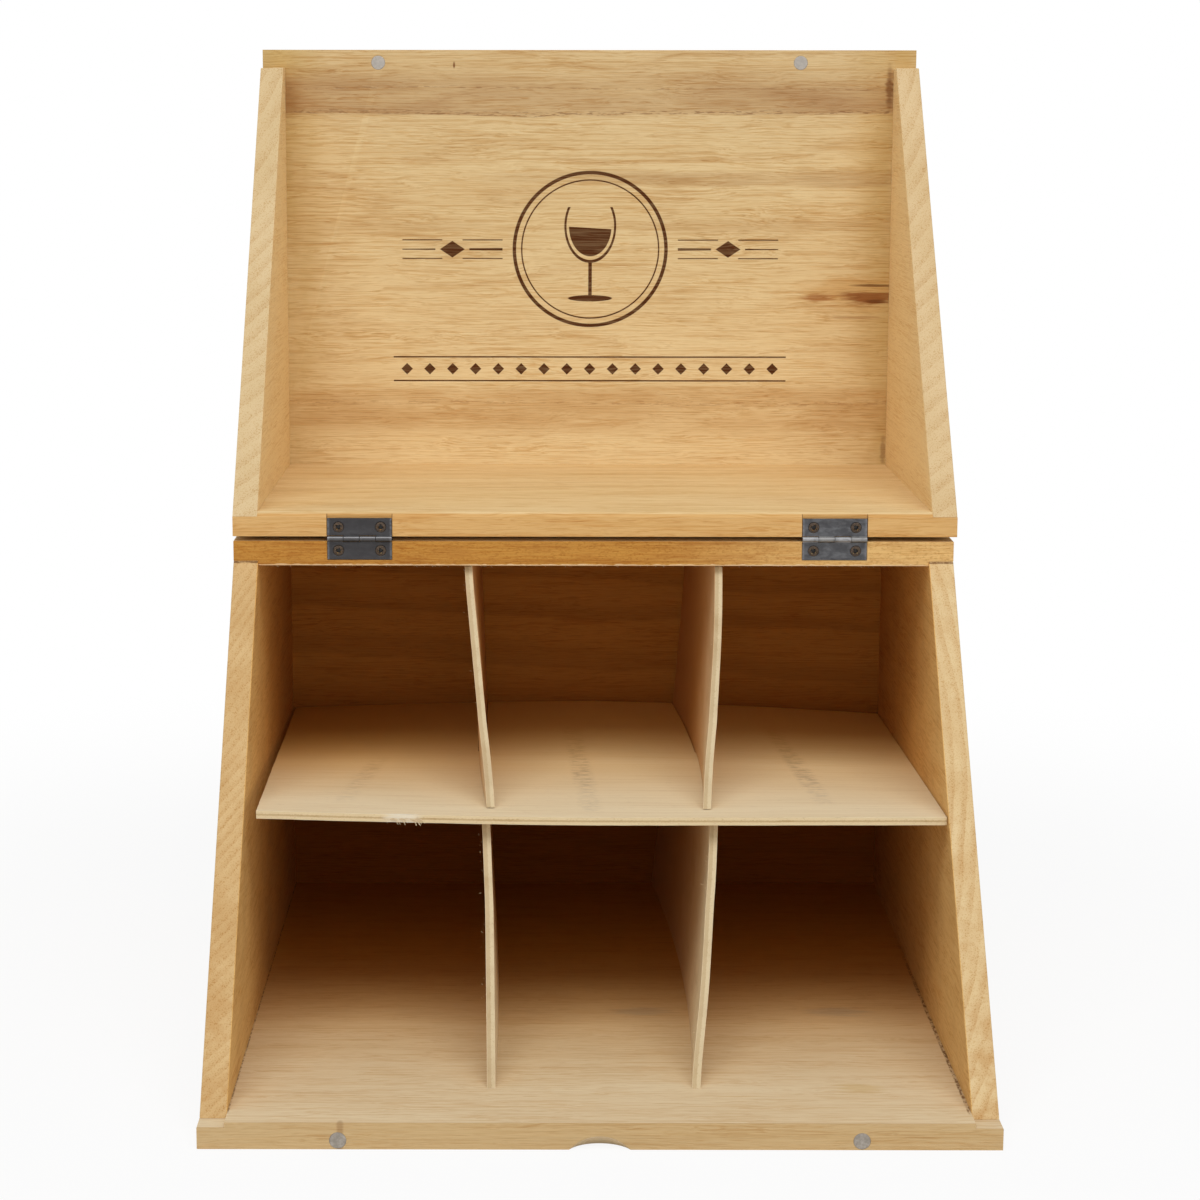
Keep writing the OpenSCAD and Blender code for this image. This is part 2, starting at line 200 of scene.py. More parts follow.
def timber(name, grain="x", heart=(0.0, -400.0), ring=5.0, light=PALE, mid=TAN, dark=AMBER,
           contrast=1.0, seed=0.0, growth=1.0, sway=None, extra=None):
    """Paulownia. grain is the axis that the fibres follow, heart the place of the tree's middle in
    the two other axes, ring the width of a year's growth, growth how much it shows on a cut, and
    sway how far the rings wander."""
    f = Finish(name)
    if grain == "x":
        a, b, run = f.y, f.z, lambda along, across: (along, across, across)
    else:
        a, b, run = f.x, f.z, lambda along, across: (across, along, across)
    sway = (f.cloud(run(260.0, 45.0), 2.0, 0.5, seed) - 0.5) * (sway or (3.0 if grain == "x" else 1.3) * ring)
    drift = (f.cloud(run(48.0, 9.0), 2.0, 0.5, seed + 3.0) - 0.5) * 6.0
    lie = (f.x, f.y + drift, f.z + drift) if grain == "x" else (f.x + drift, f.y, f.z + drift)
    lie = f.node("ShaderNodeCombineXYZ", {}, dict(enumerate(lie)))
    radius = ((a - heart[0]) ** 2.0 + (b - heart[1]) ** 2.0).root() + sway + drift * 0.22
    year = (radius / ring).part()
    line = f.ramp(year, [(0.0, 0.6), (0.08, 0.3), (0.35, 0.0), (0.8, 0.15), (0.94, 1.0), (1.0, 0.6)])
    strength = f.cloud(run(120.0, 14.0), 1.0, 0.5, seed + 5.0).ease(0.35, 0.7)
    broad = f.cloud(run(240.0, 22.0), 2.0, 0.55, seed + 9.0).ease(0.3, 0.72)
    streak = f.cloud(run(75.0, 0.8), 3.0, 0.62, seed + 11.0, place=lie)
    thread = f.cloud(run(9.0, 0.34), 1.0, 0.6, seed + 13.0, place=lie)
    vein = f.cloud(run(70.0, 1.7), 3.0, 0.6, seed + 15.0, place=lie)
    vein = abs(vein - 0.5).ease(0.035, 0.012) * f.cloud(run(40.0, 8.0), 0.0, 0.5, seed + 17.0).ease(0.35, 0.65)
    cut = f.node("ShaderNodeAttribute", {"attribute_name": "end_grain"}, output="Fac").ease(0.3, 0.7)
    pore = f.cloud((0.5, 0.5, 0.5), 1.0, 0.5, seed + 19.0).ease(0.54, 0.63)
    flat = (1.0 - cut) * contrast
    color = f.mix(broad * (0.6 * contrast), light, mid)
    color = f.mix(line * (0.3 + 0.7 * strength) * 0.45 * flat, color, dark)
    color = f.mix(streak.ease(0.50, 0.62) * 0.7 * flat, color, mid)
    color = f.mix(streak.ease(0.50, 0.38) * 0.7 * flat, color, light)
    color = f.mix(year.ease(0.25, 0.92) * year.ease(1.0, 0.95) * (0.25 + 0.5 * strength) * cut * growth, color, dark)
    f.streak, f.run, f.cut, f.dent = streak, run, cut, 0.0
    if extra:
        color = extra(f, color)
    color = f.mix(vein * 0.55 * flat, color, (0.80, 0.64, 0.44), "MULTIPLY")
    color = f.mix(streak.ease(0.52, 0.62) * 0.40 * flat, color, (0.80, 0.69, 0.56), "MULTIPLY")
    color = f.mix(thread.ease(0.50, 0.68) * (0.4 + 0.4 * line) * flat, color, (0.76, 0.64, 0.50), "MULTIPLY")
    color = f.mix(pore * (0.42 + 0.35 * year.ease(0.2, 0.8)) * cut, color, (0.76, 0.62, 0.42), "MULTIPLY")
    rough = 0.56 + 0.14 * streak + 0.1 * pore * cut
    ridge = f.cloud(run(22.0, 0.5), 1.0, 0.6, seed + 21.0)
    return f.shade(color, rough, ridge * 1.4 - f.dent, 0.11, slot_values={"Specular IOR Level": 0.1})


def spot(f, color, tint, middle, size, strength, axes="xz", ragged=0.5):
    """A stain: tint laid over an oval about middle, with an edge that is ragged along the grain."""
    p, q = (getattr(f, axis) for axis in axes)
    rag = (f.cloud(f.run(16.0, 1.6), 3.0, 0.6, 31.0) - 0.5) * 3.0 * ragged
    reach = (((p - middle[0]) / size[0]) ** 2.0 + ((q - middle[1]) / size[1]) ** 2.0).root() + rag
    return f.mix(reach.ease(1.0, 0.3) * (1.25 - 0.6 * f.streak) * strength, color, tint)


def band(level, low, high, soft_low, soft_high):
    """1 where level lies between low and high, fading out over the two soft distances."""
    return level.ease(low - soft_low, low + soft_low) * level.ease(high + soft_high, high - soft_high)


def painted_depth_shade(f, color, tint, start, end, strength):
    """Painted shade: the wood is tinted darker towards the back of the box, from start to end along Y."""
    return f.mix(f.y.ease(start, end) * strength, color, tint)


def floor_marks(f, color):
    # Painted shade: the floor's top inside the box turns darker and a deeper orange towards the back.
    floor_shade_mask = f.z.ease(8.2, 8.8) * abs(f.x).ease(132.0, 131.0)
    color = painted_depth_shade(f, color, (0.64, 0.41, 0.175), -145.0, -10.0, floor_shade_mask * 0.8)
    color = painted_depth_shade(f, color, (0.62, 0.255, 0.031), -88.0, 70.0, floor_shade_mask * 0.95)
    color = f.mix(f.y.ease(-162.6, -163.4) * 0.75, color, (0.585, 0.385, 0.165))
    color = spot(f, color, (0.36, 0.27, 0.18), (18.0, -36.0), (15.0, 7.0), 0.35, "xy")
    color = spot(f, color, (0.36, 0.27, 0.18), (94.0, -36.0), (16.0, 8.0), 0.40, "xy")
    color = spot(f, color, (0.64, 0.45, 0.18), (94.0, -126.0), (11.0, 7.0), 0.45, "xy")
    color = spot(f, color, (0.32, 0.17, 0.07), (-90.2, -163.7), (1.6, 4.0), 0.5, "xy", 0.2)
    nibbles = f.cloud((1.0, 2.2, 1.0), 1.0, 0.6, 33.0).ease(0.46, 0.56)
    # Painted shade: dark lines in the grooves where the floor meets the side boards.
    seam_shade_right = f.x.ease(128.9, 129.5) * f.y.ease(90.0, -40.0) * (0.3 + 0.7 * nibbles)
    seam_shade_left = f.x.ease(-129.7, -130.1) * (0.2 + 0.6 * nibbles)
    inside = f.z.ease(8.6, 8.8) * f.y.ease(-155.0, -150.0)
    return f.mix(seam_shade_right.most(seam_shade_left) * inside * 0.85, color, (0.150, 0.058, 0.010))


def joint_gap_shade(f, color, level, side):
    """Painted shade: a thin dark line for the gap where a board's end meets the next board; side is where the next
    board lies.
    """
    nibbles = f.cloud((2.2, 1.0, 1.0), 1.0, 0.6, 34.0).ease(0.36, 0.56)
    near = ((f.z - level) * side).ease(-1.0, -0.6)
    return f.mix(near * f.cut * (0.35 + 0.5 * nibbles), color, (0.150, 0.058, 0.012))


def side_marks(inner, lighter):
    """inner is the X of the board's inner face, lighter the side of it where the board lies."""
    def marks(f, color):
        skin = ((f.x - inner) * lighter).ease(0.5, 0.1)
        color = f.mix((1.0 - f.cut) * 0.65, color, (0.84, 0.655, 0.385))
        # Painted shade: the inner face is tinted a deeper orange, and darker still towards the back of the box.
        color = f.mix(skin * 0.75, color, (0.82, 0.49, 0.150))
        back = f.y.ease(-90.0, 90.0) * skin
        color = f.mix(back * 0.85, color, (0.74, 0.378, 0.095))
        grime = f.cloud((30.0, 30.0, 30.0), 3.0, 0.6, 35.0).ease(0.4, 0.7)
        color = f.mix(skin * grime * 0.25, color, (0.46, 0.24, 0.08))
        stain = f.cloud((11.0, 11.0, 11.0), 3.0, 0.6, 36.0).ease(0.42, 0.66)
        color = f.mix(stain * f.cut * (0.25 + 0.4 * f.z.ease(90.0, 8.0)), color, (0.56, 0.315, 0.115))
        return joint_gap_shade(f, color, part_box("left_side_board")[1].z / MM, 1.0)
    return marks


def lid_side_marks(f, color):
    """The flat faces are redder than the slanted edges."""
    color = f.mix((1.0 - f.cut) * 0.75, color, (0.96, 0.725, 0.375))
    return joint_gap_shade(f, color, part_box("left_lid_side")[0].z / MM, -1.0)


def back_marks(f, color):
    inside = f.y.ease(155.2, 154.6)
    color = f.mix(0.35, color, (0.84, 0.655, 0.385))
    # Painted shade: the inner face is darkened to a deep orange brown, and darker still in its lower part.
    color = f.mix(inside * 0.93, color, (0.63, 0.250, 0.028))
    color = f.mix(inside * f.z.ease(115.0, 75.0) * 0.96, color, (0.33, 0.090, 0.006))
    slope = f.z + f.x * 0.05 + (f.cloud((90.0, 20.0, 12.0), 2.0, 0.5, 37.0) - 0.5) * 14.0
    for low, high, strength in ((168.0, 176.0, 0.5), (148.0, 153.0, 0.45), (131.0, 137.0, 0.5), (108.0, 118.0, 0.4),
                                (60.0, 70.0, 0.4), (28.0, 34.0, 0.4)):
        color = f.mix(band(slope, low, high, 1.0, 4.0) * inside * strength * 0.55, color, (0.26, 0.082, 0.009))
    return color


def top_marks(f, color):
    fresh = f.x.ease(10.0, 125.0)
    color = f.mix(fresh * 0.8, color, (0.86, 0.575, 0.240))
    speckle = f.cloud((1.3, 0.8, 0.6), 1.0, 0.6, 45.0).ease(0.5, 0.66)
    color = f.mix(speckle * 0.4, color, (0.62, 0.46, 0.28), "MULTIPLY")
    grime = f.cloud((14.0, 6.0, 3.0), 4.0, 0.65, 46.0).ease(0.45, 0.65)
    color = f.mix(grime * (0.45 - 0.25 * fresh), color, (0.42, 0.165, 0.030))
    torn = f.z + (f.cloud((3.0, 1.0, 1.0), 1.0, 0.6, 47.0) - 0.5) * 1.2
    color = f.mix(torn.ease(180.1, 179.9) * f.y.ease(-1.8, -2.4) * 0.8, color, (0.86, 0.64, 0.38))
    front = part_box("top_board")[0].y / MM
    outside = f.mix(f.streak.ease(0.35, 0.65), (0.80, 0.61, 0.34), (0.70, 0.48, 0.225))
    return f.mix(f.y.ease(front + 0.5, front + 0.9), color, outside)


def strip_marks(f, color):
    front = f.y.ease(-1.4, -1.8)
    color = f.mix(front * 0.7, color, (0.70, 0.385, 0.120))
    grain = f.cloud((40.0, 4.0, 1.6), 3.0, 0.6, 48.0).ease(0.5, 0.64)
    color = f.mix(front * grain * 0.45, color, (0.60, 0.29, 0.075))
    reach = abs(abs(f.x - LID_MIDDLE) - HINGE_REACH)
    # Painted shade in the hinge mortises: darker within the leaf's width just behind the front face, and a near-black
    # line along each side.
    color = f.mix(reach.ease(12.9, 12.6) * f.y.ease(-2.5, -2.2) * front * 0.6, color, (0.56, 0.30, 0.095))
    return f.mix(band(reach, 12.55, 12.8, 0.08, 0.1) * front * 0.85, color, (0.09, 0.034, 0.010))


BURN = (0.088, 0.026, 0.005)
EMBLEM_MIDDLE, EMBLEM_LEVEL, ROW_LEVEL = 1.2, 293.0, 241.0


def burnt_emblem(f, color):
    """A burnt emblem: a goblet in a double ring, between rules with lozenges."""
    x, z = f.x - EMBLEM_MIDDLE, f.z
    stroke = lambda distance, half: abs(distance).ease(half + 0.12, half - 0.12)
    box = lambda wide, low, high: abs(x).ease(wide + 0.1, wide - 0.1) * band(z, low, high, 0.1, 0.1)
    radius = (x * x + (z - EMBLEM_LEVEL) ** 2.0).root()
    mark = stroke(radius - 33.0, 0.75).most(stroke(radius - 29.8, 0.3))
    bowl = ((x / 11.0) ** 2.0 + ((z - 303.0) / 15.5) ** 2.0).root()
    below_rim = z.ease(311.3, 311.1)
    mark = mark.most(bowl.ease(1.035, 1.015) * bowl.ease(0.93, 0.95) * below_rim)
    wine = bowl.ease(0.85, 0.83) * (z + x * 0.06).ease(302.3, 302.1)
    mark = mark.most(wine).most(box(0.75, 272.5, 288.2))
    foot = ((x / 9.5) ** 2.0 + ((z - 271.8) / 1.35) ** 2.0).root()
    mark = mark.most(foot.ease(1.06, 0.96))
    reach = abs(x)
    arm = reach.ease(38.0, 38.3) * reach.ease(82.0, 81.5)
    lozenge = lambda middle, level, wide, high: (abs(reach - middle) / wide + abs(z - level) / high).ease(1.05, 0.95)
    taper = 1.25 - reach * 0.012
    rule = (abs(z - EMBLEM_LEVEL) / taper).ease(0.75, 0.6) * arm
    mark = mark.most(rule * abs(reach - 60.0).ease(7.2, 7.6)).most(lozenge(60.0, EMBLEM_LEVEL, 5.4, 3.6))
    mark = mark.most(stroke(abs(z - EMBLEM_LEVEL) - 4.0, 0.22) * arm * abs(reach - 60.0).ease(4.2, 4.6))
    step = ((reach + 5.0) / 10.0).part() * 10.0 - 5.0
    row = (abs(step) / 2.5 + abs(z - ROW_LEVEL) / 2.5).ease(1.05, 0.95) * reach.ease(85.5, 85.0)
    mark = mark.most(row).most(stroke(abs(z - ROW_LEVEL) - 5.2, 0.3) * reach.ease(86.0, 85.8))
    face = f.y.ease(161.5, 160.9)
    patchy = 0.86 + 0.14 * f.streak.ease(0.3, 0.6)
    f.dent = mark * face * 1.2
    return f.mix(mark * face * patchy, color, BURN)


def panel_marks(f, color):
    bare = color
    # Painted light: the panel is made lighter towards its foot.
    color = f.mix(f.z.ease(310.0, 215.0) * 0.6, color, (0.91, 0.715, 0.405))
    color = f.mix(f.z.ease(325.0, 372.0) * 0.35, color, (0.60, 0.40, 0.19))
    # Darker near the lid's sides: partly dirt, partly painted shade in the corners where the panel meets them.
    dirt_and_shade = f.cloud((20.0, 30.0, 40.0), 3.0, 0.6, 40.0).ease(0.25, 0.65)
    color = f.mix(abs(f.x).ease(108.0, 133.0) * (0.25 + 0.45 * dirt_and_shade), color, (0.57, 0.37, 0.12))
    drift = (f.cloud((170.0, 20.0, 20.0), 2.0, 0.5, 41.0) - 0.5) * 7.0
    level = f.z + drift + (f.cloud((30.0, 4.0, 4.0), 2.0, 0.5, 42.0) - 0.5) * 2.4
    patches = f.cloud((60.0, 9.0, 9.0), 3.0, 0.6, 43.0).ease(0.3, 0.68)
    dashes = f.cloud((4.5, 0.7, 0.7), 2.0, 0.65, 44.0).ease(0.5, 0.6)
    middle = abs(f.x).ease(10.0, 90.0)
    color = f.mix(band(level, 350.5, 367.0, 0.8, 7.0) * (0.35 + 0.5 * patches) * (0.55 + 0.45 * middle), color,
                  (0.44, 0.255, 0.115))
    color = f.mix(band(level, 350.6, 352.2, 0.3, 0.6) * dashes * 0.65, color, (0.25, 0.125, 0.05))
    color = f.mix(band(level, 361.4, 362.3, 0.3, 0.4) * dashes * 0.5, color, (0.30, 0.16, 0.07))
    color = f.mix(band(level, 321.0, 325.5, 0.8, 1.6) * (0.2 + 0.5 * patches) * f.x.ease(-60.0, 10.0), color,
                  (0.46, 0.27, 0.11))
    color = f.mix(band(level, 300.0, 306.0, 1.5, 2.0) * patches * 0.35, color, (0.52, 0.31, 0.12))
    color = f.mix(band(level, 214.0, 232.0, 5.0, 3.0) * (0.18 + 0.47 * patches), color, (0.56, 0.31, 0.105))
    color = f.mix(band(level, 225.0, 227.0, 0.6, 0.8) * dashes * 0.4, color, (0.38, 0.18, 0.06))
    for middle, size, tint, strength in (
        ((118.0, 274.0), (36.0, 9.0), (0.60, 0.33, 0.095), 0.6),
        ((123.0, 272.0), (16.0, 4.6), (0.27, 0.085, 0.020), 0.9),
        ((101.0, 272.0), (9.5, 2.4), (0.36, 0.13, 0.032), 0.75),
        ((125.0, 277.5), (12.0, 0.8), (0.14, 0.050, 0.014), 0.8),
        ((127.0, 270.5), (8.0, 1.2), (0.15, 0.050, 0.014), 0.75),
        ((118.0, 263.5), (15.0, 1.0), (0.40, 0.18, 0.05), 0.5),
        ((-57.8, 371.7), (0.7, 1.9), (0.20, 0.07, 0.02), 0.95),
        ((130.0, 362.0), (2.2, 12.0), (0.22, 0.09, 0.03), 0.8),
        ((-130.0, 357.0), (9.0, 12.0), (0.38, 0.19, 0.06), 0.6),
        ((130.5, 205.0), (1.6, 9.0), (0.25, 0.11, 0.04), 0.5),
    ):
        color = spot(f, color, tint, middle, size, strength, ragged=0.15 if size[0] < 1.0 else 0.55)
    return burnt_emblem(f, f.mix(f.y.ease(163.5, 161.5), bare, color))


def blued_steel(name, knuckle):
    """knuckle is the tone that the worn knuckles have."""
    f = Finish(name)
    smear = f.cloud((4.0, 4.0, 2.2), 4.0, 0.62, 2.0, 0.6)
    fine = f.cloud((0.5, 0.5, 0.5), 3.0, 0.6, 4.0)
    across = abs(abs(f.x - LID_MIDDLE) - HINGE_REACH)
    left = f.x.ease(20.0, -20.0)
    color = f.mix(smear.ease(0.35, 0.72), (0.062, 0.062, 0.066), (0.130, 0.131, 0.138))
    color = f.mix(left * 0.8, color, (0.040, 0.037, 0.038))
    rim = across.ease(11.3, 12.4) * (0.3 + 0.7 * f.cloud((1.2, 1.2, 1.2), 3.0, 0.6, 5.0).ease(0.35, 0.6))
    color = f.mix(rim * 0.6, color, (0.22, 0.22, 0.235))
    barrel = abs(f.z - HINGE_LEVEL).ease(1.5, 1.05)
    color = f.mix(barrel * (0.45 + 0.55 * smear.ease(0.3, 0.6)) * (1.0 - 0.85 * left), color, knuckle)
    # Painted highlight: a thin light line along the top of the left hinge's knuckles.
    color = f.mix(band(f.z, 190.55, 190.85, 0.15, 0.15) * left * 0.7, color, (0.34, 0.34, 0.35))
    rough = 0.36 + 0.2 * fine + 0.12 * smear
    return f.shade(color, rough, fine * 0.5 + smear * 0.5, 0.02, metal=0.7)


SCREW_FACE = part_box("left_box_screws")[0].y / MM


def screw_bronze(name):
    f = Finish(name)
    smear = f.cloud((0.7, 0.7, 0.7), 3.0, 0.6, 6.0)
    color = f.mix(smear.ease(0.35, 0.75), (0.050, 0.034, 0.023), (0.120, 0.082, 0.056))
    # Painted shade: the cross recess below the head's face is near black and not metallic.
    recess_shade = f.y.ease(SCREW_FACE + 0.02, SCREW_FACE + 0.3)
    color = f.mix(recess_shade * 0.95, color, (0.006, 0.004, 0.003))
    return f.shade(color, 0.38 + 0.2 * smear, smear, 0.02, metal=0.7 * (1.0 - recess_shade))


def magnet_plating(name):
    f = Finish(name)
    smear = f.cloud((1.6, 1.6, 1.6), 4.0, 0.6, 8.0)
    scratch = f.cloud((3.0, 0.2, 0.12), 2.0, 0.5, 9.0)
    color = f.mix(smear.ease(0.35, 0.7), (0.28, 0.245, 0.205), (0.42, 0.375, 0.325))
    # Painted light: higher up, the plating is lighter, so the lid's magnet is lighter than the floor's.
    color = f.mix(f.z.ease(100.0, 300.0) * 0.4, color, (0.50, 0.48, 0.45))
    return f.shade(color, 0.42 + 0.18 * smear, scratch * 0.5 + smear * 0.5, 0.02, metal=0.4)


def shelf_marks(f, color):
    """Grey scuffs that the bottles left, one line to a bay, and painted shade towards the back and the back-left
    corner.
    """
    rub = f.cloud((5.0, 1.7, 4.0), 4.0, 0.62, 51.0).ease(0.42, 0.62)
    for start, end, low, high, strength in ((-96.0, -84.0, -62.0, 42.0, 0.40), (-1.0, -8.0, -74.0, 110.0, 0.6),
                                            (88.0, 77.0, -60.0, 120.0, 0.6)):
        share = (f.y - low) / (high - low)
        line = start + (end - start) * share
        mask = abs(f.x - line).ease(5.5, 1.5) * f.y.ease(low, low + 20.0) * f.y.ease(high, high - 30.0)
        mask = mask * (0.35 + 0.65 * f.y.ease(-35.0, 5.0))
        color = f.mix(mask * rub * strength, color, (0.215, 0.175, 0.165))
    color = spot(f, color, (0.86, 0.74, 0.50), (-108.8, 17.6), (5.0, 1.0), 0.8, "xy", 0.3)
    color = spot(f, color, (0.86, 0.78, 0.62), (-72.0, -73.6), (9.0, 1.6), 0.85, "xy", 0.3)
    # Painted shade: darker and a deeper orange towards the back, darkest in the back-left corner.
    color = painted_depth_shade(f, color, (0.92, 0.56, 0.150), -70.0, 130.0, 0.9)
    return f.mix(f.y.ease(-60.0, 90.0) * f.x.ease(40.0, -125.0) * 0.75, color, (0.62, 0.29, 0.048))


def divider_marks(f, color):
    grime = f.cloud((30.0, 30.0, 12.0), 3.0, 0.6, 52.0).ease(0.45, 0.7)
    color = f.mix(grime * 0.25, color, (0.45, 0.28, 0.13))
    color = f.mix(f.edge, color, (0.89, 0.90, 0.93), "MULTIPLY")
    # Painted shade: the faces darken towards the back of the box.
    return f.mix(f.y.ease(-110.0, 90.0) * (1.0 - f.edge) * 0.85, color, (0.66, 0.29, 0.06))


def plywood(name, grain="x", seed=0.0, extra=None, core=(0.36, 0.60), core_tone=(0.47, 0.30, 0.13)):
    """Face veneer, with the plies along an edge told apart by the piece's attribute ply. core is the
    part of the thickness that the darker plies take up."""
    f = Finish(name)
    run = {"x": lambda l, c: (l, c, c), "y": lambda l, c: (c, l, c), "z": lambda l, c: (c, c, l)}[grain]
    broad = f.cloud(run(150.0, 22.0), 2.0, 0.5, seed).ease(0.3, 0.7)
    streak = f.cloud(run(60.0, 0.9), 3.0, 0.6, seed + 2.0)
    thread = f.cloud(run(9.0, 0.3), 1.0, 0.6, seed + 4.0)
    pore = f.cloud(run(4.0, 0.35), 1.0, 0.4, seed + 6.0).ease(0.64, 0.76)
    color = f.mix(broad * 0.7, (0.855, 0.715, 0.485), (0.790, 0.630, 0.395))
    color = f.mix(streak.ease(0.45, 0.70) * 0.45, color, (0.650, 0.465, 0.250))
    color = f.mix(pore * 0.3, color, DARK)
    color = f.mix(thread.ease(0.3, 0.8) * 0.2, color, (0.80, 0.65, 0.44))
    ply = f.node("ShaderNodeAttribute", {"attribute_name": "ply"}, output="Fac")
    edge = ply.ease(0.02, 0.06) * (1.0 - ply).ease(0.02, 0.06)
    grit = f.cloud((0.8, 0.8, 0.8), 3.0, 0.65, seed + 8.0)
    gap = f.cloud((14.0, 14.0, 14.0), 3.0, 0.65, seed + 9.0).ease(0.5, 0.68)
    layer = band(ply + (grit - 0.5) * 0.3, core[0], core[1], 0.05, 0.05) * edge
    color = f.mix(edge * 0.9, color, (0.78, 0.62, 0.37))
    color = f.mix(layer * (0.55 + 0.3 * gap), color, core_tone)
    color = f.mix(edge * grit.ease(0.55, 0.7) * 0.4, color, (0.50, 0.33, 0.15))
    f.run, f.streak, f.edge = run, streak, edge
    if extra:
        color = extra(f, color)
    rough = 0.66 + 0.1 * streak
    bump = thread * 0.9 + grit * edge
    return f.shade(color, rough, bump, 0.08, slot_values={"Specular IOR Level": 0.1})


# Pieces
def finish_piece(name, mesh, material, body, nodes=()):
    piece = bpy.data.objects.new(name, mesh)
    bpy.context.scene.collection.objects.link(piece)
    mesh.materials.clear()
    mesh.materials.append(material)
    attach(piece, body)
    if nodes:
        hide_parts(*nodes)
    return piece


def baked(piece):
    """The piece's mesh with its modifiers applied; the piece itself is removed."""
    graph = bpy.context.evaluated_depsgraph_get()
    mesh = bpy.data.meshes.new_from_object(piece.evaluated_get(graph))
    bpy.data.objects.remove(piece)
    return mesh


def dress(node, material, body, slot, ease=0.35, limit=40.0):
    """A merged copy of a CAD node with its arrises eased, which stands for it."""
    form = bmesh.new()
    form.from_mesh(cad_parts[node].data)
    bmesh.ops.remove_doubles(form, verts=form.verts, dist=1e-6)
    bmesh.ops.dissolve_limit(form, angle_limit=math.radians(0.3), verts=form.verts, edges=form.edges)
    mesh = bpy.data.meshes.new(node)
    form.to_mesh(mesh)
    form.free()
    work = bpy.data.objects.new("work", mesh)
    bpy.context.scene.collection.objects.link(work)
    bevel = work.modifiers.new("Bevel", "BEVEL")
    bevel.width = ease * MM
    bevel.segments = 2
    bevel.limit_method = "ANGLE"
    bevel.angle_limit = math.radians(limit)
    mesh = baked(work)
    low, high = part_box(node)
    for vertex in mesh.vertices:
        vertex.co = [min(max(v, a), b) for v, a, b in zip(vertex.co, low, high)]
    mesh.shade_smooth()
    mesh.set_sharp_from_angle(angle=math.radians(20.0))
    if slot == "paulownia":
        fibres = 1 if "side" in node else 0
        ends = [abs(face.normal[fibres]) for face in mesh.polygons]
        mesh.attributes.new("end_grain", "FLOAT", "FACE").data.foreach_set("value", ends)
    return finish_piece(node + "_dressed", mesh, material, body, [node])


BOX_BOARDS = {
    "floor_board": timber("floor_timber", "x", (-120.0, -260.0), 6.0, (0.80, 0.645, 0.42), (0.72, 0.53, 0.305),
                          (0.61, 0.41, 0.205), 0.75, 1.0, extra=floor_marks),
    "back_board": timber("back_timber", "x", (420.0, 40.0), 9.0, seed=2.0, extra=back_marks),
    "left_side_board": timber("left_side_timber", "y", (-385.0, 340.0), 3.2, (0.71, 0.490, 0.240),
                              (0.59, 0.365, 0.150), (0.50, 0.265, 0.085), 1.15, 3.0, 0.45,
                              extra=side_marks(-INSIDE, -1.0)),
    "right_side_board": timber("right_side_timber", "y", (-45.0, 120.0), 4.6, (0.785, 0.60, 0.335),
                               (0.68, 0.46, 0.215), (0.56, 0.310, 0.110), 1.15, 4.0, 0.6, 7.0,
                               side_marks(INSIDE, 1.0)),
    "top_board": timber("top_timber", "x", (-60.0, 60.0), 5.0, (0.590, 0.290, 0.060), (0.490, 0.205, 0.032),
                        (0.36, 0.135, 0.024), 0.8, 5.0, extra=top_marks),
}
LID_BOARDS = {
    "lid_panel": timber("panel_timber", "x", (760.0, 250.0), 2.6, (0.80, 0.625, 0.345), (0.69, 0.480, 0.225),
                        seed=6.0, sway=24.0, extra=panel_marks),
    "lid_strip": timber("strip_timber", "x", (40.0, 60.0), 6.0, (0.82, 0.605, 0.32), (0.73, 0.49, 0.21),
                        contrast=0.9, seed=7.0, extra=strip_marks),
    "left_lid_side": timber("left_lid_timber", "y", (-265.0, 420.0), 6.0, (0.74, 0.56, 0.32), (0.62, 0.44, 0.21),
                            contrast=0.7, seed=8.0, growth=0.35, extra=lid_side_marks),
    "right_lid_side": timber("right_lid_timber", "y", (0.0, 420.0), 6.0, (0.74, 0.55, 0.31), (0.62, 0.43, 0.20),
                             contrast=0.7, seed=9.0, growth=0.45, extra=lid_side_marks),
}
for node, material in BOX_BOARDS.items():
    dress(node, material, "box", "paulownia")
for node, material in LID_BOARDS.items():
    dress(node, material, "lid", "paulownia")

steel = {"box": blued_steel("box_leaf_steel", (0.31, 0.31, 0.315)),
         "lid": blued_steel("lid_leaf_steel", (0.24, 0.235, 0.23))}
bronze = screw_bronze("bronzed_screw")
nickel = magnet_plating("magnet_nickel")
for side in ("left", "right"):
    for body in ("box", "lid"):
        dress(f"{side}_{body}_leaf", steel[body], body, "hinge_steel", 0.08)
    dress(f"{side}_hinge_pin", steel["box"], "box", "hinge_steel", 0.1)
    dress(f"{side}_floor_magnet", nickel, "box", "magnet_nickel", 0.25)
    dress(f"{side}_lid_magnet", nickel, "lid", "magnet_nickel", 0.25)


# The plywood rack
PLY, SLOT_CLEAR = 3.0, 0.3
SHELF_Z, SHELF_FRONT, LAP, RACK_BACK = 96.3, 90.0, 208.0, 316.5
FOOT_Y, HEAD_Y, RACK_LOW, RACK_TOP = 37.0, 165.0, 9.5, 178.5
ROW_Y = -163.75
